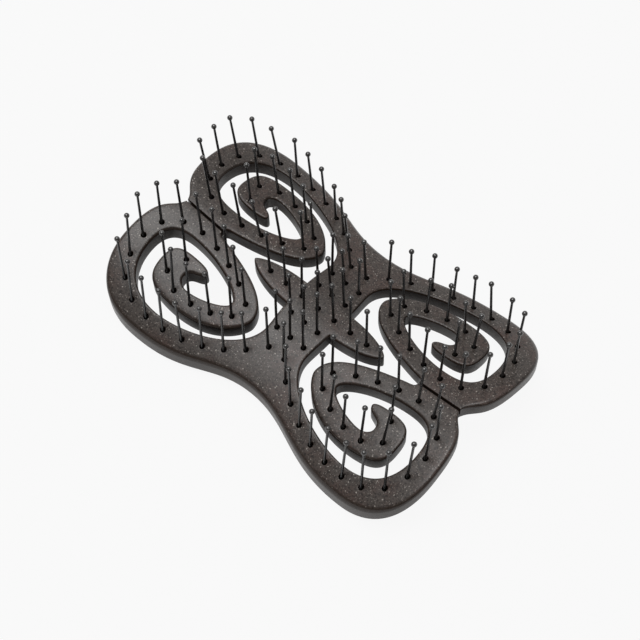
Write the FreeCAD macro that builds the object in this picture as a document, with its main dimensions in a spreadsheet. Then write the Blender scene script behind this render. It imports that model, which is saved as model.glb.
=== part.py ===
"""Palm-held travel styling brush, millimetres, +Z up, +X along its length.

Two saddle-shaped plates, a front plate and a back cover, lie face to face.  Both are cut by the same
slots into a rim and four spiral arms, one in each quarter.  Every arm hangs on a short strip beside the
long axis that twists when the arm is pushed.  Loose pins with ball ends stand in rows on the strips, and
the ball at each root is trapped between the two plates.
"""
import FreeCAD, Part
import math
import os

from FreeCAD import Placement, Rotation, Vector

# Driving sizes: name, millimetres, meaning
SIZES = [
    ("brush_length", 111.2, "overall length"),
    ("brush_width", 70.2, "overall width"),
    ("waist_width", 54.4, "width across the waist"),
    ("end_bulge_y", 18.6, "distance of the furthest end point from the long axis"),
    ("side_bulge_inset", 17.0, "widest point from the end"),
    ("notch_depth", 6.7, "depth of the notch in each end"),
    ("cross_radius", 68.0, "radius of the face across the brush, crowned"),
    ("length_radius", 278.0, "radius of the face along the brush, hollow"),
    ("front_thickness", 3.0, "front plate"),
    ("back_thickness", 2.0, "back cover"),
    ("rim_width", 6.7, "rim between the outline's side and the slot"),
    ("end_rim_width", 7.4, "rim between the outline's end and the slot"),
    ("window_end_y", 16.0, "distance of the slot's furthest end point from the long axis"),
    ("window_top_inset", 13.3, "slot's widest point from its furthest end"),
    ("thorax_width", 14.4, "bridge across the middle, along the brush"),
    ("thorax_side_y", 12.6, "distance of the bridge's narrowest place from the long axis"),
    ("tongue_root_lead", 0.6, "tongue's root beyond the side of the bridge"),
    ("tongue_width", 8.4, "tongue at its root"),
    ("tongue_slot", 12.1, "slot on the long axis beyond the tongue"),
    ("crease_length", 13.5, "stretch on the long axis between the slot and the notch"),
    ("slot_neck_length", 3.4, "rounded end of the slot on the long axis"),
    ("slot_neck_width", 3.6, "slot on the long axis where its rounded end starts"),
    ("strip_root_lead", 0.6, "root of the arm's strip beyond the end of the slot"),
    ("strip_width", 7.1, "arm's strip at its root, from the long axis"),
    ("thorax_slot", 4.1, "slot between the bridge and the arm"),
    ("side_slot", 3.9, "slot between the rim's side and the arm"),
    ("end_slot", 5.2, "slot between the rim's end and the arm's head"),
    ("head_slot", 3.6, "slot between the arm's head and its own strip"),
    ("turn_y", 14.0, "distance of the arm's turn from the long axis"),
    ("turn_width", 7.9, "arm at its turn"),
    ("arm_top_inset", 11.5, "furthest place of the arm's outer run from the head's end"),
    ("arm_top_width", 5.5, "arm's outer run"),
    ("head_y", 16.8, "distance of the head's end from the long axis"),
    ("head_width", 8.4, "arm's head"),
    ("head_bottom_inset", 7.4, "place where the head is nearest to the long axis, from its end"),
    ("curl_length", 13.1, "tip of the curl from the head's end"),
    ("curl_rise", 1.5, "tip of the curl above the head's lowest place"),
    ("crease_width", 0.6, "crease between the slot and the notch"),
    ("flexure_lead", 4.86, "twisting stretch of the arm's strip from its root"),
    ("flexure_length", 2.5, "twisting stretch, along the brush"),
    ("flexure_pin_gap", 1.77, "pins on each side of the twisting stretch from it"),
    ("pin_pitch", 6.16, "pin to pin along a row"),
    ("pin_height", 18.7, "pin above the face"),
    ("pin_diameter", 0.7, "pin shaft"),
    ("pin_tip_diameter", 1.4, "ball at the pin's tip"),
    ("pin_root_diameter", 1.9, "ball at the pin's root"),
    ("pin_hole_diameter", 1.5, "hole in the front plate round the pin"),
    ("pin_root_gap", 0.05, "play round the pin's root"),
    ("pin_aim_height", 414.0, "line above the long axis that the pins point to, from their roots"),
    ("rim_pin_edge", 2.5, "row of rim pins from the edge of the slot"),
    ("strip_pin_edge", 2.8, "row of pins on the arm's strip from the edge of the slot"),
    ("strip_pin_lead", 2.4, "place where that row is nearest to the long axis, from the strip's root"),
    ("arm_pin_edge", 3.1, "row of arm pins from the arm's outer edge"),
    ("head_pin_inset", 3.9, "row's furthest place on the head from the head's end"),
    ("head_pin_y", 17.6, "distance of the row's furthest place on the head from the long axis"),
    ("curl_pin_inset", 6.1, "end of the row from the head's end"),
    ("curl_pin_edge", 2.2, "end of the row from the head's lower edge"),
    ("waist_pin_x", 2.8, "start of the row, from the middle"),
    ("waist_pin_y", 16.7, "start of the row, from the long axis"),
    ("spine_pitch", 5.8, "pins on the long axis"),
    ("spine_pin_edge", 5.0, "pins on the long axis, at least, from the tongue's tip"),
    ("bridge_pitch_x", 4.8, "pins on the bridge, along the brush"),
    ("bridge_pitch_y", 5.6, "pins on the bridge, across the brush"),
]

BRIDGE_ROWS = 2         # rows on the bridge, on each side of the long axis
ROW_SPANS_TO_STRIP = 3  # spans of a row of pins before it turns in along the arm's strip
PATH_STEPS = 400        # points measured along a row of pins
QUARTERS = {"front_left": (1, 1), "front_right": (1, -1), "rear_left": (-1, 1), "rear_right": (-1, -1)}

doc = FreeCAD.newDocument("travel_styling_brush")
sheet = doc.addObject("Spreadsheet::Sheet", "Sizes")
for row, (alias, value, meaning) in enumerate(SIZES, start=1):
    sheet.set("A%d" % row, meaning)
    sheet.set("B%d" % row, str(value))
    sheet.setAlias("B%d" % row, alias)
doc.recompute()


def size(alias):
    return float(sheet.get(alias))


def bound(kind, name, **expressions):
    """A new document object whose sizes follow the sheet."""
    item = doc.addObject(kind, name)
    for prop, expression in expressions.items():
        item.setExpression(prop.replace("__", "."), expression)
    return item


def boolean(kind, name, base, tool):
    item = doc.addObject(kind, name)
    item.Base = base
    item.Tool = tool
    return item


# Plan curves: each knot is a place and a heading in degrees, and each span pulls towards both headings

def knot(x, y, heading):
    turn = math.radians(heading)
    return Vector(x, y, 0), Vector(math.cos(turn), math.sin(turn), 0)


def span(start, end, pulls):
    (a, leaving), (b, arriving) = start, end
    chord = (b - a).Length
    curve = Part.BezierCurve()
    curve.setPoles([a, a + leaving * (pulls[0] * chord), b - arriving * (pulls[1] * chord), b])
    return curve.toBSpline()


def chain(knots, pulls):
    return [span(knots[i], knots[i + 1], pulls[i]) for i in range(len(pulls))]


def divide(curves, x):
    """Two chains, before and after the place where a chain that runs steadily along X passes x."""
    for index, curve in enumerate(curves):
        low, high = curve.FirstParameter, curve.LastParameter
        ends = (curve.value(low).x, curve.value(high).x)
        if min(ends) <= x <= max(ends):
            cut = curve.toShape().Curve.intersectCC(
                Part.Line(Vector(x, 0, 0), Vector(x, 1, 0)).toShape(-1000, 1000).Curve)
            at = curve.parameter(Vector(cut[0].X, cut[0].Y, 0))
            before, after = curve.copy(), curve.copy()
            before.segment(low, at)
            after.segment(at, high)
            return curves[:index] + [before], [after] + curves[index + 1:]
    raise ValueError("the chain never passes x = %s" % x)


def start_of(curves):
    return curves[0].value(curves[0].FirstParameter)


def end_of(curves):
    return curves[-1].value(curves[-1].LastParameter)


def flipped(curves, sign_x, sign_y):
    """Copies of plan curves in another quarter of the brush."""
    copies = []
    for curve in curves:
        copy = curve.copy()
        for index, pole in enumerate(curve.getPoles(), start=1):
            copy.setPole(index, Vector(sign_x * pole.x, sign_y * pole.y, 0))
        copies.append(copy)
    return copies


def line(a, b):
    return Part.BSplineCurve([a, b], None, None, False, 1, None, False)


# Outline of one quarter, from the waist round the wing to the notch
half_length = size("brush_length") / 2
half_width = size("brush_width") / 2
notch = half_length - size("notch_depth")
outline = chain(
    [knot(0, size("waist_width") / 2, 0), knot(half_length - size("side_bulge_inset"), half_width, 0),
     knot(half_length, size("end_bulge_y"), -90), knot(notch, 0, -112)],
    [(0.36, 0.51), (0.53, 0.38), (0.80, 0.27)])

# Slot of one quarter: its outer edge, the tongue, and the edges of the spiral arm
window_end = half_length - size("end_rim_width")
window_top = half_width - size("rim_width")
window_widest = window_end - size("window_top_inset")
thorax_side = size("thorax_width") / 2
slot_end = notch - size("crease_length")
tongue_tip = slot_end - size("tongue_slot")
strip_root = (slot_end + size("strip_root_lead"), size("strip_width"))
tongue_root = (thorax_side + size("tongue_root_lead"), size("tongue_width") / 2)
window = chain(
    [knot(*strip_root, -4), knot(window_end, size("window_end_y"), 90),
     knot(window_widest, window_top, 180), knot(thorax_side, size("thorax_side_y"), -90),
     knot(*tongue_root, -89)],
    [(0.56, 0.50), (0.31, 0.60), (0.28, 0.31), (0.26, 0.44)])
tongue = chain([knot(*tongue_root, 0), knot(tongue_tip, 0, -90)], [(0.63, 0.07)])

turn_x = thorax_side + size("thorax_slot")
arm_top = window_top - size("side_slot")
head_end = window_end - size("end_slot")
head_bottom = size("strip_width") + size("head_slot")
arm_furthest = head_end - size("arm_top_inset")
curl_tip = (head_end - size("curl_length"), head_bottom + size("curl_rise"))
strip_lower = chain(
    [knot(slot_end, 0, 90), knot(slot_end - size("slot_neck_length"), size("slot_neck_width") / 2, 167),
     knot(turn_x, size("turn_y"), 90)],
    [(0.40, 0.55), (0.28, 0.31)])
arm_outer = chain(
    [knot(turn_x, size("turn_y"), 90), knot(arm_furthest, arm_top, 0), knot(head_end, size("head_y"), -90),
     knot(head_end - size("head_bottom_inset"), head_bottom, 180), knot(*curl_tip, 90)],
    [(0.11, 0.62), (0.74, 0.36), (0.45, 0.62), (0.35, 0.25)])
arm_eye = chain(
    [knot(*curl_tip, 83), knot(head_end - size("head_width"), size("head_y"), 90),
     knot(arm_furthest, arm_top - size("arm_top_width"), 180),
     knot(turn_x + size("turn_width"), size("turn_y"), -90)],
    [(0.38, 0.51), (0.36, 0.37), (0.34, 0.15)])
strip_upper = chain([knot(turn_x + size("turn_width"), size("turn_y"), -90), knot(*strip_root, -4)],
                    [(0.14, 0.46)])

# Row of pins of one quarter: along the rim, in beside the long axis, and round the spiral arm
pin_row = chain(
    [knot(size("waist_pin_x"), size("waist_pin_y"), 48),
     knot(window_widest, window_top + size("rim_pin_edge"), 0),
     knot(window_end + size("rim_pin_edge"), size("window_end_y"), -90),
     knot(strip_root[0] + size("strip_pin_lead"), size("strip_width") - size("strip_pin_edge"), 180),
     knot(turn_x + size("arm_pin_edge"), size("turn_y"), 90),
     knot(arm_furthest, arm_top - size("arm_pin_edge"), 0),
     knot(head_end - size("head_pin_inset"), size("head_pin_y"), -90),
     knot(head_end - size("curl_pin_inset"), head_bottom + size("curl_pin_edge"), 235)],
    [(0.45, 0.22), (0.29, 0.64), (0.45, 0.48), (0.28, 0.15), (0.09, 0.55), (0.39, 0.43), (0.38, 0.38)])


def places_along(curves, first, pitch):
    """Points at an even pitch along a chain, the first at a given distance from its start."""
    points = []
    for curve in curves:
        step = (curve.LastParameter - curve.FirstParameter) / PATH_STEPS
        points += [curve.value(curve.FirstParameter + i * step) for i in range(PATH_STEPS + 1)]
    places, travelled = [], 0.0
    for a, b in zip(points, points[1:]):
        stretch = (b - a).Length
        while stretch and travelled + stretch >= first + pitch * len(places):
            share = (first + pitch * len(places) - travelled) / stretch
            places.append(a + (b - a) * share)
        travelled += stretch
    return places


# The strip twists between two pins: the rim's pins end before that stretch, and the arm's start after it
flexure_outer = strip_root[0] - size("flexure_lead")
flexure_inner = flexure_outer - size("flexure_length")
row_to_strip = pin_row[:ROW_SPANS_TO_STRIP]
strip_to_flexure, strip_beyond = divide(pin_row[ROW_SPANS_TO_STRIP:], flexure_outer)
row_to_flexure = row_to_strip + strip_to_flexure
row_beyond_flexure = divide(strip_beyond, flexure_inner)[1]
pin_gap = size("flexure_pin_gap")
rim_row_length = sum(curve.length() for curve in row_to_flexure) - pin_gap
rim_places = places_along(row_to_flexure, rim_row_length % size("pin_pitch"), size("pin_pitch"))
arm_places = places_along(row_beyond_flexure, pin_gap, size("pin_pitch"))
spine_pins = int((tongue_tip - size("spine_pin_edge")) / size("spine_pitch"))
spine_places = [Vector(i * size("spine_pitch"), 0, 0) for i in range(-spine_pins, spine_pins + 1)]
bridge_places = [
    Vector(column * size("bridge_pitch_x"), side * row * size("bridge_pitch_y"), 0)
    for side in (1, -1) for row in range(1, BRIDGE_ROWS + 1) for column in (-1, 0, 1)]

lower_root, lower_arm = divide(strip_lower, flexure_outer)
lower_flexure, lower_arm = divide(lower_arm, flexure_inner)
upper_arm, upper_root = divide(strip_upper, flexure_inner)
upper_flexure, upper_root = divide(upper_root, flexure_outer)

# Saddle face: a ring surface whose axis runs across the brush, high above it
plate_thickness = size("front_thickness") + size("back_thickness")
ring_radius = size("length_radius") + size("cross_radius")


def drop(x, y, depth):
    """How far a point on the saddle, depth under the face, lies below the crest of the face."""
    out = ring_radius - math.sqrt((size("cross_radius") - depth) ** 2 - y ** 2)
    return math.sqrt(out ** 2 - x ** 2) - size("length_radius")


rest_drop = max(drop(p.x, p.y, plate_thickness) for curve in outline for p in curve.discretize(PATH_STEPS))
crest = rest_drop           # the brush rests on its back, with the lowest place of the rim at z = 0
ring_place = Placement(Vector(0, 0, crest + size("length_radius")), Rotation(Vector(1, 0, 0), 90))


def ring(name, depth):
    item = bound("Part::Torus", name, Radius1="Sizes.length_radius + Sizes.cross_radius",
                 Radius2="Sizes.cross_radius - (%s)" % depth)
    item.Placement = ring_place
    return item


face_ring = ring("face_ring", "0")
middle_ring = ring("middle_ring", "Sizes.front_thickness")
back_ring = ring("back_ring", "Sizes.front_thickness + Sizes.back_thickness")
front_layer = boolean("Part::Cut", "front_layer", face_ring, middle_ring)
back_layer = boolean("Part::Cut", "back_layer", middle_ring, back_ring)
whole_layer = boolean("Part::Cut", "whole_layer", face_ring, back_ring)


def blank(name, curves):
    """A tall block with a plan outline, to be trimmed to the saddle's layers."""
    body = doc.addObject("PartDesign::Body", name)
    sketch = body.newObject("Sketcher::SketchObject", name + "_plan")
    plane = [f for f in body.Origin.OriginFeatures if f.Role == "XY_Plane"][0]
    sketch.AttachmentSupport = [(plane, "")]
    sketch.MapMode = "FlatFace"
    sketch.addGeometry(curves, False)
    pad = body.newObject("PartDesign::Pad", name + "_block")
    pad.Profile = sketch
    pad.SideType = "Symmetric"
    pad.setExpression("Length", "Sizes.brush_width")
    return body


frame_curves = []
for sign_x, sign_y in QUARTERS.values():
    frame_curves += flipped(outline + window + tongue + lower_root + upper_root, sign_x, sign_y)
    frame_curves += flipped([line(end_of(lower_root), start_of(upper_root))], sign_x, sign_y)
frame_blank = blank("frame_blank", frame_curves)
arm_blank = blank("arm_blank", lower_arm + arm_outer + arm_eye + upper_arm
                  + [line(end_of(upper_arm), start_of(lower_arm))])
flexure_blank = blank("flexure_blank", lower_flexure + upper_flexure
                      + [line(end_of(lower_flexure), start_of(upper_flexure)),
                         line(start_of(lower_flexure), end_of(upper_flexure))])

# One pin with its two balls, standing on its root's middle, and the seat that it leaves in the plate
shaft_length = ("Sizes.pin_height + Sizes.front_thickness"
                " - Sizes.pin_root_diameter / 2 - Sizes.pin_tip_diameter / 2")
pin_root = bound("Part::Sphere", "pin_root", Radius="Sizes.pin_root_diameter / 2")
pin_shaft = bound("Part::Cylinder", "pin_shaft", Radius="Sizes.pin_diameter / 2", Height=shaft_length)
pin_tip = bound("Part::Sphere", "pin_tip", Radius="Sizes.pin_tip_diameter / 2",
                Placement__Base__z=shaft_length)
pin = doc.addObject("Part::MultiFuse", "pin")
pin.Shapes = [pin_root, pin_shaft, pin_tip]
seat_radius = "(Sizes.pin_root_diameter / 2 + Sizes.pin_root_gap)"
seat_pocket = bound("Part::Cylinder", "seat_pocket", Radius=seat_radius, Height="3 * " + seat_radius,
                    Placement__Base__z="-2 * " + seat_radius)
seat_hole = bound("Part::Cylinder", "seat_hole", Radius="Sizes.pin_hole_diameter / 2",
                  Height="2 * Sizes.front_thickness")
seat = boolean("Part::Fuse", "seat", seat_pocket, seat_hole)
doc.recompute()

root_depth = size("front_thickness") - size("pin_root_diameter") / 2 - size("pin_root_gap")


def lean(place):
    """Degrees by which a pin leans towards the long axis."""
    return math.degrees(math.atan2(place.y, size("pin_aim_height")))


def standing(name, source, places):
    """Copies of a pin or its seat at places in plan, each resting on the back cover."""
    copies = []
    for place in places:
        copy = source.Shape.copy()
        if source is pin:
            copy.rotate(Vector(0, 0, 0), Vector(1, 0, 0), lean(place))
        copy.translate(Vector(place.x, place.y, crest - drop(place.x, place.y, root_depth)))
        copies.append(copy)
    group = doc.addObject("Part::Feature", name)
    group.Label = name
    group.Shape = Part.makeCompound(copies)
    return group


def in_quarter(places, sign_x, sign_y):
    return [Vector(sign_x * p.x, sign_y * p.y, 0) for p in places]


subparts = []


def keep(item, label):
    item.Label = label
    subparts.append(item)
    return item


# Frame: rim, bridge and tongues, in two layers
frame_places = list(spine_places + bridge_places)
for signs in QUARTERS.values():
    frame_places += in_quarter(rim_places, *signs)
frame_face = boolean("Part::Common", "frame_face", frame_blank, front_layer)
frame_seats = standing("frame_seats", seat, frame_places)
frame_drilled = boolean("Part::Cut", "frame_drilled", frame_face, frame_seats)
creases = doc.addObject("Part::MultiFuse", "creases")
crease_pair = []
crease_reach = "(Sizes.crease_length + Sizes.crease_width)"
crease_start = "(Sizes.brush_length / 2 - Sizes.notch_depth - %s)" % crease_reach
for end, corner in (("front", crease_start), ("rear", "-%s - Sizes.brush_length" % crease_start)):
    crease_pair.append(bound(
        "Part::Box", "crease_" + end, Length="Sizes.brush_length", Width="Sizes.crease_width",
        Height="Sizes.brush_width", Placement__Base__x=corner, Placement__Base__y="-Sizes.crease_width / 2"))
creases.Shapes = crease_pair
keep(boolean("Part::Cut", "frame_creased", frame_drilled, creases), "frame_front_plate")
keep(boolean("Part::Common", "frame_back", frame_blank, back_layer), "frame_back_cover")
keep(standing("spine_pin_group", pin, spine_places), "spine_pins")
keep(standing("bridge_pin_group", pin, bridge_places), "bridge_pins")

# Front left quarter, and the other three as its mirror images
arm_face = boolean("Part::Common", "arm_face", arm_blank, front_layer)
arm_seats = standing("arm_seats", seat, arm_places)
wing = {
    "arm_front_plate": boolean("Part::Cut", "arm_drilled", arm_face, arm_seats),
    "arm_back_cover": boolean("Part::Common", "arm_back", arm_blank, back_layer),
    "arm_flexure": boolean("Part::Common", "arm_flexure", flexure_blank, whole_layer),
    "arm_pins": standing("arm_pin_group", pin, arm_places),
    "rim_pins": standing("rim_pin_group", pin, rim_places),
}


def mirrored(source, name, normal):
    item = doc.addObject("Part::Mirroring", name)
    item.Source = source
    item.Normal = normal
    return item


ACROSS, ALONG = Vector(0, 1, 0), Vector(1, 0, 0)
for piece, item in wing.items():
    keep(item, "front_left_" + piece)
    keep(mirrored(item, "front_right_mirror_" + piece, ACROSS), "front_right_" + piece)
    rear = keep(mirrored(item, "rear_left_mirror_" + piece, ALONG), "rear_left_" + piece)
    keep(mirrored(rear, "rear_right_mirror_" + piece, ACROSS), "rear_right_" + piece)

doc.recompute()
for item in doc.Objects:
    if "Invalid" in item.State or "Error" in item.State:
        raise RuntimeError("%s failed: %s" % (item.Label, item.State))
for item in subparts:
    if item.Shape.isNull() or not item.Shape.isValid() or not item.Shape.Solids:
        raise RuntimeError(item.Label + " has no sound solid")

os.makedirs("parts", exist_ok=True)
for item in subparts:
    item.Shape.exportStep("parts/%s.step" % item.Label)
    print("%-28s %3d solids %10.2f mm3" % (item.Label, len(item.Shape.Solids), item.Shape.Volume))
corners = [start_of(lower_flexure), end_of(lower_flexure), start_of(upper_flexure), end_of(upper_flexure)]
twist_y = sum(corner.y for corner in corners) / len(corners)
flexure_middle = (flexure_outer + flexure_inner) / 2
twist_z = crest - drop(flexure_middle, twist_y, plate_thickness / 2)
print("pins: %d on each rim quarter, %d on each arm" % (len(rim_places), len(arm_places)))
print("first rim pin %.3f mm along its row" % (rim_row_length % size("pin_pitch")))
print("crest of the face at %.3f mm" % crest)
print("twist axis of the front left arm: x %.3f, y %.3f, z %.3f mm" % (flexure_middle, twist_y, twist_z))
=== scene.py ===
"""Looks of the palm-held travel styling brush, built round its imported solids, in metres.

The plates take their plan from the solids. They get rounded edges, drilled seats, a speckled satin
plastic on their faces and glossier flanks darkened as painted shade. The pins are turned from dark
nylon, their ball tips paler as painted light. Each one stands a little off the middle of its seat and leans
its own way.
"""
import math
import random

import bpy
import numpy as np
from mathutils import Matrix, Vector
from mathutils.geometry import delaunay_2d_cdt


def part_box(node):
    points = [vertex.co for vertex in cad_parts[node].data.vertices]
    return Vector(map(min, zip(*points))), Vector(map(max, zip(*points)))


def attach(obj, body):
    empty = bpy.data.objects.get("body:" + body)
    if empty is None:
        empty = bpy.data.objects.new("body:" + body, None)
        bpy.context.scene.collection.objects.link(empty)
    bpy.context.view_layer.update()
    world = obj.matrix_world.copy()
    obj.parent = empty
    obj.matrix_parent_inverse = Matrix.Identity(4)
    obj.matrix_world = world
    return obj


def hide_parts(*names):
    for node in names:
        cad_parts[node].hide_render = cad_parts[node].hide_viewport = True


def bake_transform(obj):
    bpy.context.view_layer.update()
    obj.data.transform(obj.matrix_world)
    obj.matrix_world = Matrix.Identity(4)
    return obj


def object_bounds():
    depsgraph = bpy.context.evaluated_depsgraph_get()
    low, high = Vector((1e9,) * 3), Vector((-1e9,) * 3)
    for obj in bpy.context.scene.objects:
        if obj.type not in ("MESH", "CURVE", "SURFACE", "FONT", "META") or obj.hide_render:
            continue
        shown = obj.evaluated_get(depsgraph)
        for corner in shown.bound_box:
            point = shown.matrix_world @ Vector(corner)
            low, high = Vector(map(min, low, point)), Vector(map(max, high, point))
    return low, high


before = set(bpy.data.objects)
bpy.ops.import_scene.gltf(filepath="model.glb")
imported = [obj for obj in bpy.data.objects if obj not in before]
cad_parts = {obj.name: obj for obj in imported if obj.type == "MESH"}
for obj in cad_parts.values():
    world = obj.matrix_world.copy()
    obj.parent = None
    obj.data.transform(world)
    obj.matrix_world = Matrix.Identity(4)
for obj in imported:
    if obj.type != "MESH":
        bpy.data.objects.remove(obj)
CAD_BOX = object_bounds()

bl_info = {
    "name": "Travel styling brush",
    "version": (1, 0, 0),
    "blender": (4, 5, 0),
    "location": "View3D > Sidebar > Brush",
    "description": "Dresses the solids of a palm-held styling brush with plates, pins and a stage",
    "category": "Add Mesh",
}

MM = 0.001
QUARTERS = ("front_left", "front_right", "rear_left", "rear_right")

# How the meshes are divided
ARC_STEPS = 6                           # rings across a rounded edge
SEAT_SIDES = 20                         # corners of a drilled seat
PIN_SIDES = 16                          # corners round a pin
ROOT_RINGS = 7                          # rings of the ball at a pin's root
SHAFT_SHARES = (0, 0.3, 0.6, 0.85)      # rings of a pin's shaft, as shares of its length
TIP_RINGS = 10                          # rings of the ball at a pin's tip
FINE_STEP = 0.05 * MM                   # steps in which the bend of an edge is measured
FINE_LEAST = 8                          # fewest of those steps
EDGE_CLEAR = 0.4                        # least way from a face's points to its edges, in mesh spacings
PLATE_SHARP = 40                        # degrees at which an edge of a plate's mesh shows as sharp
PIN_SHARP = 60                          # the same for a pin's mesh

# How the solids are read
WELD = 0.001 * MM               # corners of a solid this near to each other are one
UPWARD = 0.5                    # least upright part of the normal of an upward face
CORNER_TURN = 35                # degrees at which an edge counts as having a corner
SEAT_LOOP_LENGTH = 8 * MM       # an edge shorter than this is a pin's seat
PIN_REACH = 3.0 * MM            # every point of a pin lies this near to its foot, in plan
RIM_REACH = 3.0 * MM            # edges this near to the outline's corners belong to it
CUT_SPREAD = 0.01 * MM          # a cut across a strip is straight to within this
CUT_REACH = 0.02 * MM           # and lies this near to the strip's end
CREASE_SLOPE = 0.001            # a crease keeps to the long axis to within this

# How far the edges are rounded
NO_LIMIT = 1.0                  # stands for any radius
ROOM_SHARE = 0.8                # share of the room inside an edge that its rounding may take
SEAT_CLEAR = 0.03 * MM          # face left between a rounding and the lip of a seat
LEAST_SPREAD = 0.2              # limits how far a sharp turn draws a point in
LEVEL = 1e-9                    # a lower rise counts as none
TINY = 1e-12                    # keeps a divisor from being zero

# Shape of a pin, angles in degrees from the middle of a ball
ROOT_ARC = (-80, 50)
TIP_ARC = (-58, 80)
FOOT_RISE = 1.2                 # height of the shaft's foot, in radii of the root
NECK_DROP = 1.25                # depth of the neck below the middle of the tip, in radii of the tip

# Patterns of the plates' plastic
CLOUDS = {"Scale": 85, "Detail": 4, "Roughness": 0.6}
CLOUD_RANGE = (0.42, 0.66)      # noise at which a cloud begins and is whole
GRAIN = {"Scale": 1900, "Detail": 2}
GRAIN_RANGE = (0.30, 0.56)      # noise up to which the grain is dark, and from which it isn't
WAVER = {"Scale": 2400, "Detail": 1}
WAVER_REACH = 0.5 * MM          # makes the edges of the spots ragged
SPECKS = {"scale": 620, "radius": 0.34, "share": 0.35, "shift": 0.031}
FLECKS = {"scale": 1150, "radius": 0.25, "share": 0.36, "shift": 0.0}
DUST = {"scale": 1900, "radius": 0.30, "share": 0.55, "shift": 0.017}
SPOT_CORE = 0.55                # share of a spot's radius that is solid
SPECK_STRENGTH = 0.5
FLECK_STRENGTH = 0.68
DUST_STRENGTH = 0.34
# Painted shade: surfaces whose normal leans far from upright, the walls and roundings, take the dark flank
# colour in place of the shade that falls on them.
FLANK_RANGE = (0.35, 0.80)      # squared upright part of the normal, from a flank to a face
FLANK_TRACE = 0.08              # share of the face's colour that a flank keeps
GRAIN_SATIN = 0.12              # difference that the grain makes to the gloss
FLECK_SATIN = 0.08              # the same for the flecks
CLOUD_HEIGHT = 0.6              # relief of the clouds against the grain's
SPECK_DEPTH = 0.4               # the same for the specks, which are pits
PLATE_RELIEF = {"Strength": 0.25, "Distance": 0.04 * MM}
PLATE_INDEX = 1.42              # refraction, which sets how much a surface mirrors

# Patterns of the pins' plastic
WAVES = {"Scale": 500, "Detail": 2}
WAVE_RANGE = (0.35, 0.75)
WAVE_LIGHTER = 1.4              # colour of the waves against the ground's
WAVE_SATIN = 0.08
WAVE_RELIEF = {"Strength": 0.08, "Distance": 0.03 * MM}
PIN_INDEX = 1.42
TIP_INDEX = 1.8

# Sky and camera
BEHIND = (-0.70, 0.71, 0.0)     # level direction from the camera over the brush
BEHIND_HEIGHT = 0.6             # how much higher the sky counts towards there
OVERHEAD_RANGE = (0.1, 0.9)
WALL_RANGE = (-0.2, 0.7)
SENSOR_WIDTH = 36
CLIP_START, CLIP_END = 0.01, 20


def length_prop(name, description, default_mm):
    return bpy.props.FloatProperty(
        name=name, description=description, default=default_mm * MM, unit="LENGTH", precision=5)


def colour_prop(name, description, default):
    return bpy.props.FloatVectorProperty(
        name=name, description=description, default=default, size=3, subtype="COLOR", min=0, max=1)


def factor_prop(name, description, default):
    return bpy.props.FloatProperty(
        name=name, description=description, default=default, subtype="FACTOR", min=0, max=1)


def angle_prop(name, description, default_degrees):
    return bpy.props.FloatProperty(
        name=name, description=description, default=math.radians(default_degrees), subtype="ANGLE")


class BrushPlateSizes(bpy.types.PropertyGroup):
    """Sizes of the two plates that aren't read from the solids."""
    cross_radius: length_prop("Cross radius", "Crown of the face across the brush", 68)
    length_radius: length_prop("Length radius", "Hollow of the face along the brush", 278)
    front_thickness: length_prop("Front thickness", "Front plate", 3)
    back_thickness: length_prop("Back thickness", "Back cover", 2)
    outline_face_edge: length_prop("Outline's face edge", "Rounding of the face all round the brush", 1.3)
    outline_back_edge: length_prop("Outline's back edge", "Rounding of the back all round the brush", 0.6)
    slot_face_edge: length_prop("Slots' face edge", "Rounding between the face and the slots", 0.8)
    slot_back_edge: length_prop("Slots' back edge", "Rounding between the back and the slots", 0.3)
    crease_edge: length_prop("Crease edge", "Rounding along the crease on the long axis", 0.3)
    seat_lip: length_prop("Seat lip", "Rounding round the mouth of a pin's seat", 0.15)
    pocket_radius: length_prop("Pocket radius", "Pocket for a pin's root under the seat", 1.3)
    pocket_depth: length_prop("Pocket depth", "Top of that pocket below the face", 1.0)
    edge_step: length_prop("Edge step", "Longest straight stretch along a curved edge", 0.6)
    edge_turn: angle_prop("Edge turn", "Largest turn from one stretch to the next", 8)
    face_step: length_prop("Face step", "Mesh spacing on the faces", 1.6)


class BrushPinSizes(bpy.types.PropertyGroup):
    """Shape of one pin."""
    root_radius: length_prop("Root radius", "Ball at the root", 0.95)
    foot_radius: length_prop("Foot radius", "Shaft where it leaves the plate", 0.39)
    neck_radius: length_prop("Neck radius", "Shaft under the tip", 0.33)
    tip_radius: length_prop("Tip radius", "Ball at the tip", 0.76)
    lean: angle_prop("Lean", "Usual lean of a single pin in its seat", 2.2)
    nap: angle_prop("Nap", "Lean that all pins share", 1.6)
    nap_heading: angle_prop("Nap's heading", "Way that all pins lean in plan", 111)
    splay: angle_prop("Splay", "Outward lean of the pins at the brush's ends", 1.5)
    slide: length_prop("Slide", "Usual place of a loose pin off the middle of its seat", 0.20)
    slide_spread: length_prop("Slide's spread", "How much that differs from pin to pin", 0.05)
    slide_heading: angle_prop("Slide's heading", "Way that the pins slid when the brush was laid down", 249)
    play: length_prop("Play", "Most that a pin can stand off the middle of its seat", 0.34)
    seed: bpy.props.IntProperty(name="Seed", description="Which way the pins happen to lean", default=21289)


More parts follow.
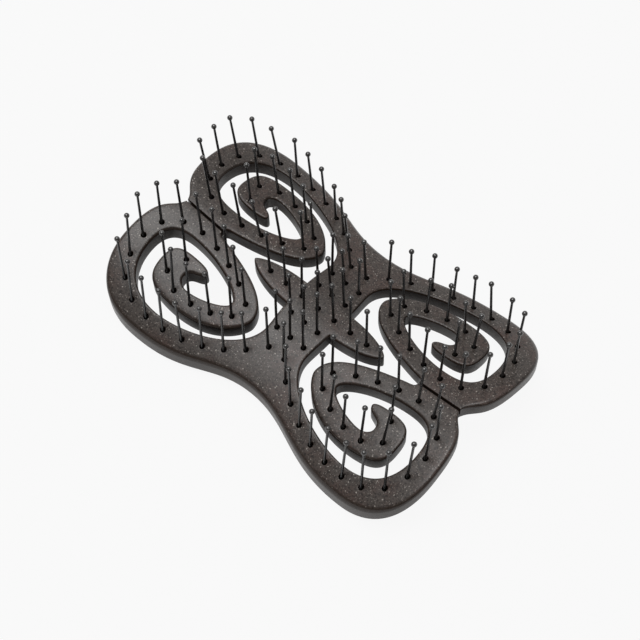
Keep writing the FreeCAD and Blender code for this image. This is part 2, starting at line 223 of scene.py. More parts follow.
class BrushFinish(bpy.types.PropertyGroup):
    """Colours and gloss."""
    plate: colour_prop("Plate", "Ground colour of the plates", (0.0615, 0.0510, 0.0450))
    mottle: colour_prop("Mottle", "Reddish clouds in the plates", (0.070, 0.048, 0.041))
    fleck: colour_prop("Fleck", "Pale flecks in the plates", (0.46, 0.42, 0.38))
    speck: colour_prop("Speck", "Dark specks in the plates", (0.020, 0.016, 0.014))
    # Painted shade: the dark colour that the steep flanks and roundings take, standing in for the shade on
    # them.
    painted_flank_shade: colour_prop("Flank", "Polished flanks of the plates", (0.024, 0.0155, 0.0110))
    plate_roughness: factor_prop("Plate roughness", "Satin of the plates", 0.36)
    flank_roughness: factor_prop("Flank roughness", "Gloss of the flanks", 0.26)
    pin: colour_prop("Pin", "Nylon of the pins", (0.0045, 0.0041, 0.0039))
    pin_roughness: factor_prop("Pin roughness", "Gloss of the pins", 0.20)
    # Painted light: the ball tips are the shafts' nylon, made paler to stand in for the light that their
    # upturned tops catch.
    tip: colour_prop("Tip", "Dipped ball tips of the pins", (0.032, 0.030, 0.029))
    tip_roughness: factor_prop("Tip roughness", "Gloss of the ball tips", 0.20)


class BrushStage(bpy.types.PropertyGroup):
    """Floor, light and camera."""
    floor: colour_prop("Floor", "Pale floor", (0.947, 0.947, 0.947))
    floor_reach: length_prop("Floor reach", "Half the width of the floor", 10000)
    shadow: factor_prop("Shadow", "Share of the floor's own shading that the camera sees", 0.03)
    shine: factor_prop("Shine", "Share of the floor's white in what shines", 0.12)
    sky_shine: factor_prop("Sky shine", "Share of the sky's white in what shines", 0.08)
    sky_front: factor_prop("Sky in front", "Level of the sky all round", 0.03)
    sky_overhead: factor_prop("Sky overhead", "What is added overhead", 0.32)
    sky_wall: factor_prop("Sky behind", "What is added behind the brush", 0.26)
    lamp_power: bpy.props.FloatProperty(
        name="Lamp", description="Power of the softbox", default=5.0, unit="POWER")
    lamp_size: length_prop("Lamp size", "Width of the square softbox", 500)
    lamp_place: bpy.props.FloatVectorProperty(
        name="Lamp place", description="Softbox in the brush's frame", size=3, subtype="TRANSLATION",
        default=(-0.12, -0.04, 0.80))
    camera_place: bpy.props.FloatVectorProperty(
        name="Camera place", description="Camera in the brush's frame", size=3, subtype="TRANSLATION",
        default=(0.137055, -0.140656, 0.361197))
    camera_turn: bpy.props.FloatVectorProperty(
        name="Camera turn", description="Camera's angles", size=3, subtype="EULER",
        default=[math.radians(a) for a in (28.999, 1.195, 41.993)])
    camera_lens: bpy.props.FloatProperty(
        name="Lens", description="Focal length on a 36 mm sensor", default=83.2, unit="CAMERA")


def plate_sizes():
    return bpy.context.scene.brush_plates


def pin_sizes():
    return bpy.context.scene.brush_pins


class Value:
    """A socket of a node that is reckoned with like a number."""

    def __init__(self, nodes, socket):
        self.nodes = nodes
        self.socket = socket

    def reckon(self, operation, first, second):
        return self.nodes.add("ShaderNodeMath", {"operation": operation}, {0: first, 1: second})

    def __add__(self, other):
        return self.reckon("ADD", self, other)

    def __sub__(self, other):
        return self.reckon("SUBTRACT", self, other)

    def __rsub__(self, other):
        return self.reckon("SUBTRACT", other, self)

    def __mul__(self, other):
        return self.reckon("MULTIPLY", self, other)

    def __lt__(self, other):
        return self.reckon("LESS_THAN", self, other)

    __radd__ = __add__
    __rmul__ = __mul__


class Nodes:
    """The nodes of one material, or of the world."""

    def __init__(self, owner):
        owner.use_nodes = True
        self.tree = owner.node_tree
        self.tree.nodes.clear()

    def add(self, kind, setup=None, inputs=None, output=0):
        """A new node, its settings made first; gives the wanted output."""
        node = self.tree.nodes.new(kind)
        for name, setting in (setup or {}).items():
            setattr(node, name, setting)
        for name, value in (inputs or {}).items():
            if isinstance(value, Value):
                self.tree.links.new(value.socket, node.inputs[name])
            else:
                node.inputs[name].default_value = value
        return Value(self, node.outputs[output]) if node.outputs else None

    def ramp(self, amount, low, high):
        """0 up to low, 1 from high on, and smooth between them."""
        return self.add("ShaderNodeMapRange", {"interpolation_type": "SMOOTHSTEP"},
                        {"Value": amount, "From Min": low, "From Max": high})

    def noise(self, place, pattern, output=0):
        return self.add("ShaderNodeTexNoise", None, {"Vector": place, **pattern}, output)

    def mixed(self, first, second, amount):
        return self.add("ShaderNodeMix", {"data_type": "RGBA"}, {0: amount, 6: first, 7: second}, output=2)


def opaque(colour):
    return (*colour, 1.0)


def speckled_plastic():
    """Satin plastic with reddish clouds, pale flecks and dark specks; its glossier flanks get a dark colour
    as painted shade.
    """
    finish = bpy.context.scene.brush_finish
    material = bpy.data.materials.new("speckled_plastic")
    nodes = Nodes(material)
    place = nodes.add("ShaderNodeTexCoord", output="Object")
    clouds = nodes.noise(place, CLOUDS)
    colour = nodes.mixed(opaque(finish.plate), opaque(finish.mottle), nodes.ramp(clouds, *CLOUD_RANGE))
    bent = nodes.add("ShaderNodeVectorMath", {"operation": "MULTIPLY_ADD"}, {
        0: nodes.noise(place, WAVER, output="Color"), 1: (WAVER_REACH,) * 3, 2: place})

    def scattered(scale, radius, share, shift):
        """Ragged spots, share of them shown, with a radius counted in cells."""
        shifted = nodes.add("ShaderNodeVectorMath", {"operation": "ADD"}, {0: bent, 1: (shift,) * 3})
        setup = {"feature": "F1"}
        cells = {"Vector": shifted, "Scale": scale, "Randomness": 1.0}
        distance = nodes.add("ShaderNodeTexVoronoi", setup, cells, output="Distance")
        lot = nodes.add("ShaderNodeSeparateColor", None, {
            "Color": nodes.add("ShaderNodeTexVoronoi", setup, cells, output="Color")}, output=0)
        return (1 - nodes.ramp(distance, radius * SPOT_CORE, radius)) * (lot < share)

    grain = nodes.noise(place, GRAIN)
    specks, flecks, dust = scattered(**SPECKS), scattered(**FLECKS), scattered(**DUST)
    colour = nodes.mixed(colour, opaque(finish.speck), 1 - nodes.ramp(grain, *GRAIN_RANGE))
    colour = nodes.mixed(colour, opaque(finish.speck), specks * SPECK_STRENGTH)
    colour = nodes.mixed(colour, opaque(finish.fleck), dust * DUST_STRENGTH)
    colour = nodes.mixed(colour, opaque(finish.fleck), flecks * FLECK_STRENGTH)
    # Painted shade: the steeper the surface, the more its colour turns to the dark flank colour; only the
    # change of gloss is the flanks' own.
    upright = nodes.add("ShaderNodeSeparateXYZ", None, {
        "Vector": nodes.add("ShaderNodeTexCoord", output="Normal")}, output="Z")
    flat = nodes.ramp(upright * upright, *FLANK_RANGE)
    colour = nodes.mixed(opaque(finish.painted_flank_shade), colour, flat * (1 - FLANK_TRACE) + FLANK_TRACE)
    satin = finish.plate_roughness - GRAIN_SATIN / 2 + grain * GRAIN_SATIN + flecks * FLECK_SATIN
    roughness = satin * flat + (1 - flat) * finish.flank_roughness
    bump = nodes.add("ShaderNodeBump", None, {
        "Height": grain + clouds * CLOUD_HEIGHT - specks * SPECK_DEPTH, **PLATE_RELIEF})
    shader = nodes.add("ShaderNodeBsdfPrincipled", None, {
        "Base Color": colour, "Roughness": roughness, "Normal": bump, "IOR": PLATE_INDEX})
    nodes.add("ShaderNodeOutputMaterial", None, {"Surface": shader})
    return material


def smooth_plastic(name, ground, gloss, index):
    """Smooth plastic, a little uneven in colour and gloss."""
    material = bpy.data.materials.new(name)
    nodes = Nodes(material)
    waves = nodes.noise(nodes.add("ShaderNodeTexCoord", output="Object"), WAVES)
    lighter = tuple(c * WAVE_LIGHTER for c in ground)
    colour = nodes.mixed(opaque(ground), opaque(lighter), nodes.ramp(waves, *WAVE_RANGE))
    roughness = gloss - WAVE_SATIN / 2 + waves * WAVE_SATIN
    bump = nodes.add("ShaderNodeBump", None, {"Height": waves, **WAVE_RELIEF})
    shader = nodes.add("ShaderNodeBsdfPrincipled", None, {
        "Base Color": colour, "Roughness": roughness, "Normal": bump, "IOR": index})
    nodes.add("ShaderNodeOutputMaterial", None, {"Surface": shader})
    return material


def pin_nylon():
    finish = bpy.context.scene.brush_finish
    return smooth_plastic("pin_nylon", finish.pin, finish.pin_roughness, PIN_INDEX)


# Painted light: a paler copy of the pins' nylon, given to the ball tips.
def tip_painted_light():
    finish = bpy.context.scene.brush_finish
    return smooth_plastic("tip_painted_light", finish.tip, finish.tip_roughness, TIP_INDEX)


def material_named(name, make):
    return bpy.data.materials.get(name) or make()


def node_points(node):
    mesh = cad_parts[node].data
    points = np.empty(len(mesh.vertices) * 3)
    mesh.vertices.foreach_get("co", points)
    return points.reshape(-1, 3)


def face_loops(node):
    """Closed edges of a solid's upward face in plan, with the material on their left."""
    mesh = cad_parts[node].data
    mesh.calc_loop_triangles()
    corners = np.empty(len(mesh.loop_triangles) * 3, np.int64)
    mesh.loop_triangles.foreach_get("vertices", corners)
    points = node_points(node)
    welded, where = np.unique(np.round(points / WELD).astype(np.int64), axis=0, return_inverse=True)
    corners = where.reshape(-1)[corners].reshape(-1, 3)
    places = welded * WELD
    a, b, c = (places[corners[:, i]] for i in range(3))
    normals = np.cross(b - a, c - a)
    upward = corners[normals[:, 2] > UPWARD * np.linalg.norm(normals, axis=1)]
    edges = {(int(t[i]), int(t[(i + 1) % 3])) for t in upward for i in range(3)}
    follows = {start: end for start, end in edges if (end, start) not in edges}
    loops = []
    while follows:
        start, here = follows.popitem()
        loop = [start]
        while here != start:
            loop.append(here)
            here = follows.pop(here)
        loops.append(places[loop][:, :2])
    return loops


def loop_length(loop):
    return np.linalg.norm(np.roll(loop, -1, axis=0) - loop, axis=1).sum()


def unit(vectors):
    return vectors / np.maximum(np.linalg.norm(vectors, axis=-1, keepdims=True), TINY)


def left_of(vectors):
    return np.stack([-vectors[..., 1], vectors[..., 0]], axis=-1)


def right_of(vectors):
    return -left_of(vectors)


def cross(a, b):
    return a[..., 0] * b[..., 1] - a[..., 1] * b[..., 0]


def sides_of(loop):
    """A closed edge cut at its corners."""
    ahead = unit(np.roll(loop, -1, axis=0) - loop)
    behind = np.roll(ahead, 1, axis=0)
    turn = np.degrees(np.abs(np.arctan2(cross(behind, ahead), (behind * ahead).sum(axis=1))))
    corners = np.flatnonzero(turn > CORNER_TURN)
    if not len(corners):
        raise RuntimeError("an edge of the plates has no corner to start from")
    loop = np.roll(loop, -corners[0], axis=0)
    marks = list(corners - corners[0]) + [len(loop)]
    closed = np.vstack([loop, loop[:1]])
    return [closed[start:end + 1] for start, end in zip(marks, marks[1:])]


def evened(side, step, turn):
    """The same run with points that follow its curve closely where it bends and widely elsewhere."""
    run = np.concatenate([[0], np.cumsum(np.linalg.norm(np.diff(side, axis=0), axis=1))])
    if len(side) == 2:
        count = max(1, round(run[-1] / step))
        return side[0] + np.linspace(0, 1, count + 1)[:, None] * (side[1] - side[0])
    slopes = np.gradient(side, run, axis=0)

    def at(where):
        """Points on the smooth line through the run's points."""
        k = np.clip(np.searchsorted(run, where, side="right") - 1, 0, len(run) - 2)
        h = (run[k + 1] - run[k])[:, None]
        t = (where - run[k])[:, None] / h
        return ((1 + 2 * t) * (1 - t) ** 2 * side[k] + t * (1 - t) ** 2 * h * slopes[k]
                + t * t * (3 - 2 * t) * side[k + 1] + t * t * (t - 1) * h * slopes[k + 1])

    fine = np.linspace(0, run[-1], max(FINE_LEAST, int(run[-1] / FINE_STEP)))
    heading = unit(np.diff(at(fine), axis=0))
    bends = np.abs(cross(heading[:-1], heading[1:]))
    effort = np.diff(fine) / step
    effort[1:] += bends / turn
    spent = np.concatenate([[0], np.cumsum(effort)])
    return at(np.interp(np.linspace(0, spent[-1], max(2, math.ceil(spent[-1])) + 1), spent, fine))


class PlateEdge:
    """One closed edge of a plate, with the way in which its roundings draw in from it."""
    EASE = 3        # a corner's shift along a side fades out over so many times its size

    def __init__(self, points, behind, ahead, side_of, first, cut):
        self.points = points        # places in plan
        self.behind = behind        # inward direction of the stretch before each point
        self.ahead = ahead          # inward direction of the stretch after it
        self.side_of = side_of      # number of the side that each point starts or lies on
        self.first = first          # whether a point is the corner at the start of its side
        self.cut = cut              # whether each side is a cut across a twisting strip

    def drawn_in(self, radii):
        """How far each point moves in plan, and the depth of the rounding there."""
        own = np.where(self.cut[self.side_of], 0, radii)
        before = np.roll(own, 1)
        middle = unit(self.behind + self.ahead)
        moves = middle * (own / np.maximum((middle * self.ahead).sum(axis=1), LEAST_SPREAD))[:, None]
        depths = own.copy()
        for i in np.flatnonzero(self.first):
            pair = np.array([self.behind[i], self.ahead[i]])
            moves[i] = np.linalg.solve(pair, [before[i], own[i]])
            depths[i] = max(before[i], own[i])
        for i in np.flatnonzero(self.first):
            self.make_room(moves, i, 1, moves[i] @ right_of(self.ahead[i]))
            self.make_room(moves, i, -1, moves[i] @ right_of(self.behind[i]))
        for side in np.flatnonzero(self.cut):
            along = np.flatnonzero(self.side_of == side)
            start, end = along[0], (along[-1] + 1) % len(own)
            for values in (moves, depths):
                for step, i in enumerate(along[1:], start=1):
                    share = step / len(along)
                    values[i] = values[start] * (1 - share) + values[end] * share
        return moves, depths

    def make_room(self, moves, corner, way, shift):
        """Spreads the shift of a corner over the points beside it, so that none is passed."""
        count = len(self.points)
        reach = self.EASE * abs(shift)
        here, travelled = corner, 0.0
        while True:
            there = (here + way) % count
            travelled += np.linalg.norm(self.points[there] - self.points[here])
            if travelled >= reach or self.first[there]:
                return
            along = right_of(unit(self.behind[there] + self.ahead[there]))
            moves[there] += along * shift * (1 - travelled / reach) ** 2
            here = there


def is_cut(side):
    """Whether a side is where a strip is cut across."""
    ends = [corner.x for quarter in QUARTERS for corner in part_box(quarter + "_arm_flexure")]
    spread = side[:, 0].max() - side[:, 0].min()
    return spread < CUT_SPREAD and min(abs(side[0, 0] - x) for x in ends) < CUT_REACH


def plate_edges(loops):
    sizes = plate_sizes()
    edges = []
    for loop in loops:
        sides = [evened(s, sizes.edge_step, sizes.edge_turn) for s in sides_of(loop)]
        points = np.vstack([s[:-1] for s in sides])
        inward = left_of(unit(np.roll(points, -1, axis=0) - points))
        counts = [len(s) - 1 for s in sides]
        side_of = np.repeat(np.arange(len(sides)), counts)
        first = np.zeros(len(points), bool)
        first[np.concatenate([[0], np.cumsum(counts)[:-1]])] = True
        edges.append(PlateEdge(points, np.roll(inward, 1, axis=0), inward, side_of, first,
                               np.array([is_cut(s) for s in sides])))
    return edges


def room_inside(edges, seats):
    """Radius of rounding that each point of the edges has room for."""
    sizes = plate_sizes()
    rooms = []
    for edge in edges:
        middle = unit(edge.behind + edge.ahead)
        count = edge.side_of.max() + 1
        room = np.full(len(edge.points), NO_LIMIT)
        for other in edges:
            kept = ~other.cut[other.side_of]
            gaps = other.points[kept][None] - edge.points[:, None]
            rise = (gaps * middle[:, None]).sum(axis=2)
            ball = (gaps ** 2).sum(axis=2) / np.maximum(2 * rise, TINY)
            ball = np.where(rise > LEVEL, ball, NO_LIMIT)
            if other is edge:
                apart = (edge.side_of[kept][None] - edge.side_of[:, None]) % count
                ball = np.where((apart == 1) | (apart == count - 1), NO_LIMIT, ball)
            room = np.minimum(room, ball.min(axis=1) * ROOM_SHARE)
        if len(seats):
            clear = np.linalg.norm(edge.points[:, None] - seats[None, :, :2], axis=2) - seats[None, :, 2]
            room = np.minimum(room, clear.min(axis=1) - sizes.seat_lip - SEAT_CLEAR)
        room[edge.first | edge.cut[edge.side_of]] = NO_LIMIT
        rooms.append(room)
    return rooms


def eased(radii, passes=100):
    """Radii that change gradually along an edge and nowhere exceed what they were."""
    smooth = radii
    for _ in range(passes):
        smooth = np.minimum(radii, (np.roll(smooth, 1) + 2 * smooth + np.roll(smooth, -1)) / 4)
    return smooth


def outline():
    """The brush's outer edge in plan."""
    return max(face_loops("frame_back_cover"), key=lambda loop: np.ptp(loop[:, 0]))


class Saddle:
    """The saddle-shaped face, and the layers under it."""

    def __init__(self):
        sizes = plate_sizes()
        self.cross = sizes.cross_radius
        self.along = sizes.length_radius
        thickness = sizes.front_thickness + sizes.back_thickness
        rim = outline()
        self.crest = self.drop(rim, np.full(len(rim), thickness)).max()

    def drop(self, places, depths):
        out = self.along + self.cross - np.sqrt((self.cross - depths) ** 2 - places[:, 1] ** 2)
        return np.sqrt(out ** 2 - places[:, 0] ** 2) - self.along

    def points(self, places, depths):
        depths = np.broadcast_to(depths, len(places))
        return np.column_stack([places, self.crest - self.drop(places, depths)])


def inside(points, loops):
    """Which points lie in the material that closed edges go round."""
    crossings = np.zeros(len(points), int)
    for loop in loops:
        ends = np.roll(loop, -1, axis=0)
        for (x0, y0), (x1, y1) in zip(loop, ends):
            if y0 != y1:
                spans = (points[:, 1] < y0) != (points[:, 1] < y1)
                crossings += spans & (points[:, 0] < x0 + (points[:, 1] - y0) * (x1 - x0) / (y1 - y0))
    return crossings % 2 == 1


def face_grid(loops, step):
    """Points spread over a face, clear of its edges."""
    edge = np.vstack(loops)
    low, high = edge.min(axis=0), edge.max(axis=0)
    xs = np.arange(low[0], high[0], step)
    ys = np.arange(low[1], high[1], step * math.sqrt(3) / 2)
    grid = np.array([(x + step / 2 * (row % 2), y) for row, y in enumerate(ys) for x in xs])
    grid = grid[inside(grid, loops)]
    near = np.array([np.min(((edge - p) ** 2).sum(axis=1)) for p in grid]) if len(grid) else np.zeros(0)
    return grid[near > (EDGE_CLEAR * step) ** 2]


def face_triangles(loops, extra):
    """Triangles between closed edges and the points spread inside them."""
    coords = np.vstack(loops + [extra]) if len(extra) else np.vstack(loops)
    rails, start = [], 0
    for loop in loops:
        rails += [(start + i, start + (i + 1) % len(loop)) for i in range(len(loop))]
        start += len(loop)
    vectors = [Vector(p) for p in coords / MM]
    found = delaunay_2d_cdt(vectors, rails, [], 0, 1e-7, True)
    sources = [ids[0] if ids else -1 for ids in found[3]]
    if len(found[0]) != len(coords) or -1 in sources:
        raise RuntimeError("the edges of a face cross each other")
    triangles = [tuple(sources[i] for i in t) for t in found[2]]
    rail_set = set(rails)
    owner = {}
    for number, t in enumerate(triangles):
        for i in range(3):
            owner[t[i], t[(i + 1) % 3]] = number
    todo = [owner[r] for r in rails if r in owner]
    kept = set(todo)
    while todo:
        t = triangles[todo.pop()]
        for i in range(3):
            pair = (t[i], t[(i + 1) % 3])
            across = owner.get((pair[1], pair[0]))
            if across is not None and pair not in rail_set and across not in kept:
                kept.add(across)
                todo.append(across)
    return [triangles[i] for i in sorted(kept)]


class Skin:
    """Collects the points and faces of one closed mesh."""

    def __init__(self):
        self.points = []
        self.faces = []
        self.finishes = []      # number of each face's material
        self.finish = 0         # number that new faces get
        self.count = 0

    def add(self, points):
        self.points.append(points)
        start = self.count
        self.count += len(points)
        return np.arange(start, self.count)

    def add_face(self, corners):
        self.faces.append(tuple(map(int, corners)))
        self.finishes.append(self.finish)

    def band(self, upper, lower):
        for face in zip(upper, lower, np.roll(lower, -1), np.roll(upper, -1)):
            self.add_face(face)

    def cap(self, saddle, rings, plan, depth, step, downward=False):
        """A face that closes the rings at one depth."""
        spread = face_grid(plan, step)
        ids = np.concatenate(rings + ([self.add(saddle.points(spread, depth))] if len(spread) else []))
        for t in face_triangles(plan, spread):
            face = [ids[i] for i in t]
            self.add_face(face[::-1] if downward else face)

    def build(self, name, materials, sharp):
        mesh = bpy.data.meshes.new(name)
        mesh.from_pydata([tuple(p) for p in np.vstack(self.points)], [], self.faces)
        for material in materials:
            mesh.materials.append(material)
        mesh.polygons.foreach_set("material_index", self.finishes)
        mesh.polygons.foreach_set("use_smooth", [True] * len(mesh.polygons))
        mesh.validate()
        mesh.set_sharp_from_angle(angle=math.radians(sharp))
        piece = bpy.data.objects.new(name, mesh)
        bpy.context.scene.collection.objects.link(piece)
        return piece


def circle(place, radius):
    """Corners of a seat's edge, with the material outside it on the left."""
    turns = -np.arange(SEAT_SIDES) * 2 * math.pi / SEAT_SIDES
    return place[:2] + radius * np.column_stack([np.cos(turns), np.sin(turns)])


def arc_fractions():
    """Shares of a rounding's radius, inward and downward, from the face to the wall."""
    turns = np.linspace(0, math.pi / 2, ARC_STEPS + 1)
    return list(zip(1 - np.sin(turns), 1 - np.cos(turns)))


def plate_piece(name, node, top, bottom, faced, backed):
    """A plate between two depths, with rounded edges at the face or the back and drilled seats for pins."""
    sizes = plate_sizes()
    saddle = Saddle()
    loops = face_loops(node)
    outlines = [loop for loop in loops if loop_length(loop) > SEAT_LOOP_LENGTH]
    seats = np.array([(*loop.mean(axis=0), np.linalg.norm(loop - loop.mean(axis=0), axis=1).mean())
                      for loop in loops if loop_length(loop) <= SEAT_LOOP_LENGTH]).reshape(-1, 3)
    rim = outline()
    edges = plate_edges(outlines)
    rooms = room_inside(edges, seats)
    skin = Skin()
    top_rings, top_plan, bottom_rings, bottom_plan = [], [], [], []
    for edge, room in zip(edges, rooms):
        crease = np.abs(edge.points[:, 1]) < sizes.crease_edge
        for inward in (edge.behind, edge.ahead):
            crease &= np.abs(inward[:, 0]) < CREASE_SLOPE
        rings = []
        outer = np.linalg.norm(edge.points[:, None] - rim[None], axis=2).min(axis=1) < RIM_REACH
        if faced:
            limit = np.where(outer, sizes.outline_face_edge, sizes.slot_face_edge)
            limit = np.where(crease, sizes.crease_edge, limit)
            moves, depths = edge.drawn_in(eased(np.minimum(room, limit)))
            for inward, downward in arc_fractions():
                plan = edge.points + moves * inward
                rings.append((plan, top + depths * downward))
        else:
            rings.append((edge.points, np.full(len(edge.points), top)))
        if backed:
            limit = np.where(outer, sizes.outline_back_edge, sizes.slot_back_edge)
            moves, depths = edge.drawn_in(eased(np.minimum(room, limit)))
            for inward, upward in arc_fractions()[::-1]:
                plan = edge.points + moves * inward
                rings.append((plan, bottom - depths * upward))
        else:
            rings.append((edge.points, np.full(len(edge.points), bottom)))
        ids = [skin.add(saddle.points(plan, depth)) for plan, depth in rings]
        for upper, lower in zip(ids, ids[1:]):
            skin.band(upper, lower)
        top_rings.append(ids[0])
        top_plan.append(rings[0][0])
        bottom_rings.append(ids[-1])
        bottom_plan.append(rings[-1][0])
    for seat in seats:
        radius = seat[2]
        lip = [(radius + sizes.seat_lip * i, sizes.seat_lip * d) for i, d in arc_fractions()]
        profile = lip + [(radius, sizes.pocket_depth), (sizes.pocket_radius, sizes.pocket_depth),
                         (sizes.pocket_radius, bottom)]
        ids = [skin.add(saddle.points(circle(seat, r), d)) for r, d in profile]
        for upper, lower in zip(ids, ids[1:]):
            skin.band(upper, lower)
        top_rings.append(ids[0])
        top_plan.append(circle(seat, profile[0][0]))
        bottom_rings.append(ids[-1])
        bottom_plan.append(circle(seat, profile[-1][0]))
    skin.cap(saddle, top_rings, top_plan, top, sizes.face_step)
    skin.cap(saddle, bottom_rings, bottom_plan, bottom, sizes.face_step, downward=True)
    piece = skin.build(name, [material_named("speckled_plastic", speckled_plastic)], PLATE_SHARP)
    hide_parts(node)
    return piece


def body_of_quarter(quarter):
    return quarter + "_arm"


class BRUSH_OT_front_plates(bpy.types.Operator):
    """Build the drilled front plates of the frame and of the four spiral arms"""
    bl_idname = "brush.front_plates"
    bl_label = "Front plates"

    def execute(self, context):
        sizes = plate_sizes()
        plates = [("frame_face", "frame_front_plate", "frame")]
        plates += [(q + "_arm_face", q + "_arm_front_plate", body_of_quarter(q)) for q in QUARTERS]
        for name, node, body in plates:
            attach(plate_piece(name, node, 0.0, sizes.front_thickness, True, False), body)
        return {"FINISHED"}


class BRUSH_OT_back_covers(bpy.types.Operator):
    """Build the back covers of the frame and of the four spiral arms"""
    bl_idname = "brush.back_covers"
    bl_label = "Back covers"

    def execute(self, context):
        sizes = plate_sizes()
        bottom = sizes.front_thickness + sizes.back_thickness
        covers = [("frame_back", "frame_back_cover", "frame")]
        covers += [(q + "_arm_back", q + "_arm_back_cover", body_of_quarter(q)) for q in QUARTERS]
        for name, node, body in covers:
            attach(plate_piece(name, node, sizes.front_thickness, bottom, False, True), body)
        return {"FINISHED"}


class BRUSH_OT_twisting_strips(bpy.types.Operator):
    """Build the short strips between the rim and the arms; on the brush they twist as an arm moves, here
    they are built at rest
    """
    bl_idname = "brush.twisting_strips"
    bl_label = "Twisting strips"

    def execute(self, context):
        sizes = plate_sizes()
        bottom = sizes.front_thickness + sizes.back_thickness
        for quarter in QUARTERS:
            node = quarter + "_arm_flexure"
            piece = plate_piece(quarter + "_strip", node, 0.0, bottom, True, True)
            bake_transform(piece)
        return {"FINISHED"}


def pin_places(node):
    """The middle of the root and of the tip of each pin of a set."""
    sizes = pin_sizes()
    points = node_points(node)
    places = []
    while len(points):
        lowest = points[points[:, 2].argmin()]
        near = np.linalg.norm(points[:, :2] - lowest[:2], axis=1) < PIN_REACH
        pin = points[near]
        bottom, top = pin[pin[:, 2].argmin()], pin[pin[:, 2].argmax()]
        ends = []
        for pole, inward in ((bottom, sizes.root_radius), (top, -sizes.tip_radius)):
            ball = pin[np.abs(pin[:, 2] - pole[2]) < abs(inward)]
            middle = (ball.min(axis=0) + ball.max(axis=0)) / 2
            ends.append((middle[0], middle[1], pole[2] + inward))
        places.append(tuple(ends))
        points = points[~near]
    return sorted(places)


def ball_arc(radius, middle, arc, rings):
    """Radius and height of the rings on a ball, between two angles from its middle."""
    turns = np.radians(np.linspace(*arc, rings))
    return [(radius * math.cos(t), middle + radius * math.sin(t)) for t in turns]


def pin_profile(length):
    """Radius and height from the root's underside to the top of the tip, from the middle of the root."""
    sizes = pin_sizes()
    root, tip, foot, neck = sizes.root_radius, sizes.tip_radius, sizes.foot_radius, sizes.neck_radius
    foot_height = FOOT_RISE * root
    shaft = length - tip - foot_height
    profile = ball_arc(root, 0, ROOT_ARC, ROOT_RINGS)
    profile += [(foot + (neck - foot) * share, foot_height + shaft * share) for share in SHAFT_SHARES]
    profile.append((neck, length - NECK_DROP * tip))
    return profile + ball_arc(tip, length, TIP_ARC, TIP_RINGS)


def towards(heading):
    return Vector((math.cos(heading), math.sin(heading), 0))


class BRUSH_OT_pins(bpy.types.Operator):
    """Turn the pins of every row and set them in their seats, each leaning a little"""
    bl_idname = "brush.pins"
    bl_label = "Pins"

    def execute(self, context):
        sizes = pin_sizes()
        chance = random.Random(sizes.seed)
        settling = random.Random(sizes.seed + 1)
        sets = [("spine_pin_set", "spine_pins", "frame"), ("bridge_pin_set", "bridge_pins", "frame")]
        for q in QUARTERS:
            sets.append((q + "_rim_pin_set", q + "_rim_pins", "frame"))
            sets.append((q + "_arm_pin_set", q + "_arm_pins", body_of_quarter(q)))
        for name, node, body in sets:
            skin = Skin()
            for root, tip in pin_places(node):
                lean = chance.gauss(0, sizes.lean)
                facing = chance.uniform(0, math.pi)
                slide = min(settling.gauss(sizes.slide, sizes.slide_spread), sizes.play)
                seated = Vector(root) + towards(sizes.slide_heading) * slide
                self.turn_pin(skin, seated, self.combed(Vector(root), Vector(tip)), lean, facing)
            finishes = [material_named("pin_nylon", pin_nylon), material_named("tip_painted_light", tip_painted_light)]
            piece = skin.build(name, finishes, PIN_SHARP)
            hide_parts(node)
            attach(piece, body)
        return {"FINISHED"}

    def combed(self, root, tip):
        """From the root to the tip of a pin that leans as all pins do, and outward near the ends."""
        sizes = pin_sizes()
        stem = tip - root
        way = stem.normalized() + towards(sizes.nap_heading) * math.tan(sizes.nap)
        way.x += math.tan(sizes.splay) * root.x / CAD_BOX[1].x
        return way.normalized() * stem.length

    def turn_pin(self, skin, root, stem, lean, facing):
        """One pin along its stem, leaning a little more about the middle of its root."""
        sizes = pin_sizes()
        about = Matrix.Rotation(facing, 3, "Z")
        tilt = about @ Matrix.Rotation(lean, 3, "X") @ about.transposed()
        tilt = tilt @ Vector((0, 0, 1)).rotation_difference(stem).to_matrix()
        turns = [2 * math.pi * i / PIN_SIDES for i in range(PIN_SIDES)]

        def placed(points):
            return np.array([root + tilt @ Vector(p) for p in points])

        def close(ring, z, downward):
            pole = skin.add(placed([(0, 0, z)]))[0]
            for a, b in zip(ring, np.roll(ring, -1)):
                skin.add_face((pole, b, a) if downward else (pole, a, b))

        rings = []
        for radius, z in pin_profile(stem.length):
            rings.append(skin.add(placed([(radius * math.cos(t), radius * math.sin(t), z) for t in turns])))
        close(rings[0], -sizes.root_radius, True)
        for number, (lower, upper) in enumerate(zip(rings, rings[1:]), start=1):
            # The bands of the tip take the paler material, which is painted light.
            skin.finish = int(number >= len(rings) - TIP_RINGS)
            skin.band(upper, lower)
        close(rings[-1], stem.length + sizes.tip_radius, False)
        skin.finish = 0


def white_share(nodes, shadow, shine):
    """Share of an even white that a ray meets: most for the camera, some for what shines, else none."""
    seen, shining, through = (nodes.add("ShaderNodeLightPath", output=name)
                              for name in ("Is Camera Ray", "Is Glossy Ray", "Is Transmission Ray"))
    return (seen + through) * (1 - shadow) + shining * shine


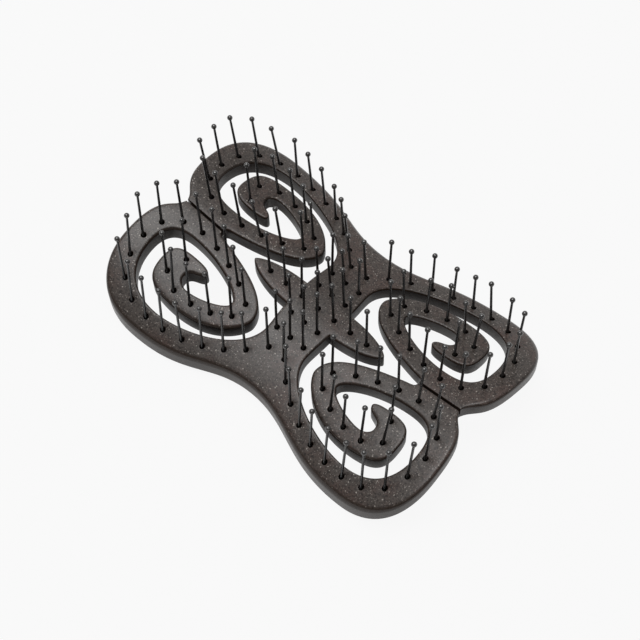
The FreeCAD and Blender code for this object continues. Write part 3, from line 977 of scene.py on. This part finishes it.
class BRUSH_OT_stage(bpy.types.Operator):
    """Set the pale floor, the soft light and the camera"""
    bl_idname = "brush.stage"
    bl_label = "Stage"

    def execute(self, context):
        self.lay_floor(context.scene.brush_stage)
        self.light_world(context.scene)
        self.hang_lamp(context.scene.brush_stage)
        self.place_camera(context.scene)
        context.scene.view_settings.view_transform = "Standard"
        return {"FINISHED"}

    def lay_floor(self, stage):
        reach = stage.floor_reach
        mesh = bpy.data.meshes.new("floor")
        mesh.from_pydata([(-reach, -reach, 0), (reach, -reach, 0), (reach, reach, 0), (-reach, reach, 0)],
                         [], [(0, 1, 2, 3)])
        floor = bpy.data.objects.new("floor", mesh)
        bpy.context.scene.collection.objects.link(floor)
        material = bpy.data.materials.new("pale_floor")
        nodes = Nodes(material)
        paint = nodes.add("ShaderNodeBsdfDiffuse", None, {"Color": opaque(stage.floor)})
        glow = nodes.add("ShaderNodeEmission", None, {"Color": opaque(stage.floor), "Strength": 1.0})
        share = white_share(nodes, stage.shadow, stage.shine)
        shader = nodes.add("ShaderNodeMixShader", None, {0: share, 1: paint, 2: glow})
        nodes.add("ShaderNodeOutputMaterial", None, {"Surface": shader})
        mesh.materials.append(material)

    def light_world(self, scene):
        """White for the camera; for the brush, grey above and behind and dark in front."""
        world = bpy.data.worlds.new("studio")
        scene.world = world
        nodes = Nodes(world)
        stage = scene.brush_stage
        direction = nodes.add("ShaderNodeTexCoord", output="Generated")
        height = nodes.add("ShaderNodeSeparateXYZ", None, {"Vector": direction}, output="Z")
        behind = nodes.add("ShaderNodeVectorMath", {"operation": "DOT_PRODUCT"},
                           {0: direction, 1: BEHIND}, output="Value")
        overhead = nodes.ramp(height + behind * BEHIND_HEIGHT, *OVERHEAD_RANGE)
        wall = nodes.ramp(behind, *WALL_RANGE)
        share = white_share(nodes, 0.0, stage.sky_shine)
        glow = stage.sky_front + overhead * stage.sky_overhead + wall * stage.sky_wall
        strength = glow * (1 - share) + share * stage.floor[0]
        sky = nodes.add("ShaderNodeBackground", None, {"Color": (1, 1, 1, 1), "Strength": strength})
        nodes.add("ShaderNodeOutputWorld", None, {"Surface": sky})

    def hang_lamp(self, stage):
        lamp = bpy.data.lights.new("top_softbox", "AREA")
        lamp.shape = "RECTANGLE"
        lamp.size = lamp.size_y = stage.lamp_size
        lamp.energy = stage.lamp_power
        holder = bpy.data.objects.new("top_softbox", lamp)
        holder.location = stage.lamp_place
        holder.rotation_euler = (-holder.location).to_track_quat("-Z", "Y").to_euler()
        bpy.context.scene.collection.objects.link(holder)

    def place_camera(self, scene):
        stage = scene.brush_stage
        camera = bpy.data.cameras.new("camera")
        camera.lens = stage.camera_lens
        camera.sensor_width = SENSOR_WIDTH
        camera.clip_start = CLIP_START
        camera.clip_end = CLIP_END
        holder = bpy.data.objects.new("camera", camera)
        holder.location = stage.camera_place
        holder.rotation_euler = stage.camera_turn
        scene.collection.objects.link(holder)
        scene.camera = holder


class BRUSH_PT_panel(bpy.types.Panel):
    """Sidebar panel with the brush's pieces"""
    bl_idname = "BRUSH_PT_panel"
    bl_label = "Styling brush"
    bl_space_type = "VIEW_3D"
    bl_region_type = "UI"
    bl_category = "Brush"

    def draw(self, context):
        for operator in OPERATORS:
            self.layout.operator(operator.bl_idname)
        for name in GROUPS:
            group = getattr(context.scene, name)
            box = self.layout.box()
            for prop in group.bl_rna.properties:
                if prop.identifier not in ("rna_type", "name"):
                    box.prop(group, prop.identifier)


OPERATORS = (BRUSH_OT_front_plates, BRUSH_OT_back_covers, BRUSH_OT_twisting_strips, BRUSH_OT_pins,
             BRUSH_OT_stage)
GROUPS = {"brush_plates": BrushPlateSizes, "brush_pins": BrushPinSizes,
          "brush_finish": BrushFinish, "brush_stage": BrushStage}


def register():
    for group in GROUPS.values():
        bpy.utils.register_class(group)
    for name, group in GROUPS.items():
        setattr(bpy.types.Scene, name, bpy.props.PointerProperty(type=group))
    for cls in (*OPERATORS, BRUSH_PT_panel):
        bpy.utils.register_class(cls)


def unregister():
    for cls in (BRUSH_PT_panel, *reversed(OPERATORS)):
        bpy.utils.unregister_class(cls)
    for name, group in GROUPS.items():
        delattr(bpy.types.Scene, name)
        bpy.utils.unregister_class(group)


def main():
    register()
    bpy.ops.brush.front_plates()
    bpy.ops.brush.back_covers()
    bpy.ops.brush.twisting_strips()
    bpy.ops.brush.pins()
    bpy.ops.brush.stage()


if __name__ == "__main__":
    main()
